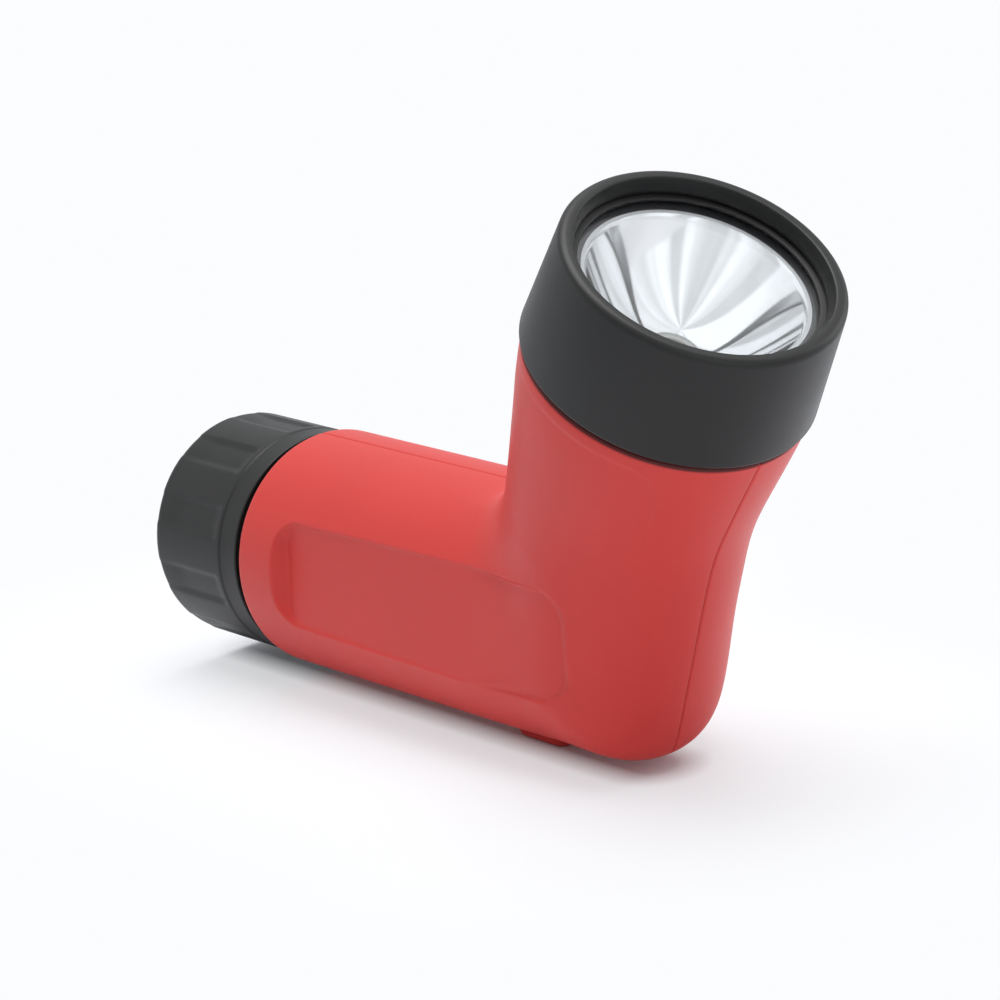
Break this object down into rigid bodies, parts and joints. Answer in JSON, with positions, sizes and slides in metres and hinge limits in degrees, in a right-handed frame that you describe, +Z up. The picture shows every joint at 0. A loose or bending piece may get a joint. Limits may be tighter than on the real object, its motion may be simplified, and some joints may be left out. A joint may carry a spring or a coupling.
{
  "type": "hand lamp with angled head",
  "caption": "Rechargeable hand lamp with a round red handle, a head leaning forward on an elbow neck, a screwed dark head ring and a fluted screw cap at the tail.",
  "frame": {"origin": "middle of the bounding box's underside, on the surface that the lamp lies on", "axes": "+X along the handle towards the head, +Y across the moulding seam, +Z up"},
  "size_m": [0.1836, 0.0578, 0.1178],
  "materials": {
    "red_shell": "satin moulded plastic",
    "dark_plastic": "fine matt moulded plastic",
    "rubber": "moulded rubber",
    "grey_gasket": "moulded rubber",
    "mirror_coat": "metal coating on moulded plastic",
    "clear_lens": "clear polished sheet",
    "light_metal": "turned",
    "steel": "bright",
    "spring_brass": "bright",
    "circuit": "lacquered board",
    "white_plastic": "moulded",
    "emitter": "clear dome over a yellow coat",
    "cell_wrap": "shrunk film over a steel can",
    "wire_coat": "flexible insulation"
  },
  "bodies": {
    "body": {"body_half_left": "red_shell", "body_half_right": "red_shell", "head_o_ring": "rubber", "tail_gasket": "rubber", "reflector": "mirror_coat", "led_emitter": "emitter", "led_board": "light_metal", "led_spacer": "white_plastic", "heat_sink": "light_metal", "lamp_screws": "steel", "lamp_wires": "wire_coat", "driver_board": "circuit", "driver_parts": "dark_plastic", "board_screws": "steel", "switch_case": "dark_plastic", "contact_board": "circuit", "contact_springs": "spring_brass", "battery_wires": "wire_coat", "battery_cells": "cell_wrap", "cell_links": "steel", "pack_sleeve": "cell_wrap", "pack_front_plate": "circuit", "pack_rear_plate": "circuit", "charge_socket": "dark_plastic"},
    "switch": {"switch_slider": "red_shell", "slider_plate": "dark_plastic", "switch_lever": "white_plastic"},
    "lens_pack": {"lens": "clear_lens", "lens_gasket": "grey_gasket"},
    "head_ring": {"bezel_ring": "dark_plastic"},
    "tail_press": {"tail_spring": "steel", "spring_seat": "steel"},
    "cap": {"tail_cap": "dark_plastic"}
  },
  "joints": [
    {"name": "switch_slide", "type": "slide", "parent": "body", "child": "switch", "axis": [1, 0, 0], "range_m": [0, 0.005]},
    {"name": "lens_lift", "type": "slide", "parent": "body", "child": "lens_pack", "axis": [0.5299, 0, 0.848], "range_m": [0, 0.0075]},
    {"name": "head_ring_turn", "type": "hinge", "parent": "lens_pack", "child": "head_ring", "pos_m": [0.02136, 0, 0.0275], "axis": [0.5299, 0, 0.848], "range_deg": [0, 1080]},
    {"name": "tail_draw", "type": "slide", "parent": "body", "child": "tail_press", "axis": [-1, 0, 0], "range_m": [0, 0.01]},
    {"name": "cap_turn", "type": "hinge", "parent": "tail_press", "child": "cap", "pos_m": [-0.0767, 0, 0.0275], "axis": [-1, 0, 0], "range_deg": [0, 1440]}
  ],
  "couplings": [
    {"joint": "lens_lift", "follows": "head_ring_turn", "m_per_rad": 0.00039789},
    {"joint": "tail_draw", "follows": "cap_turn", "m_per_rad": 0.00039789}
  ]
}
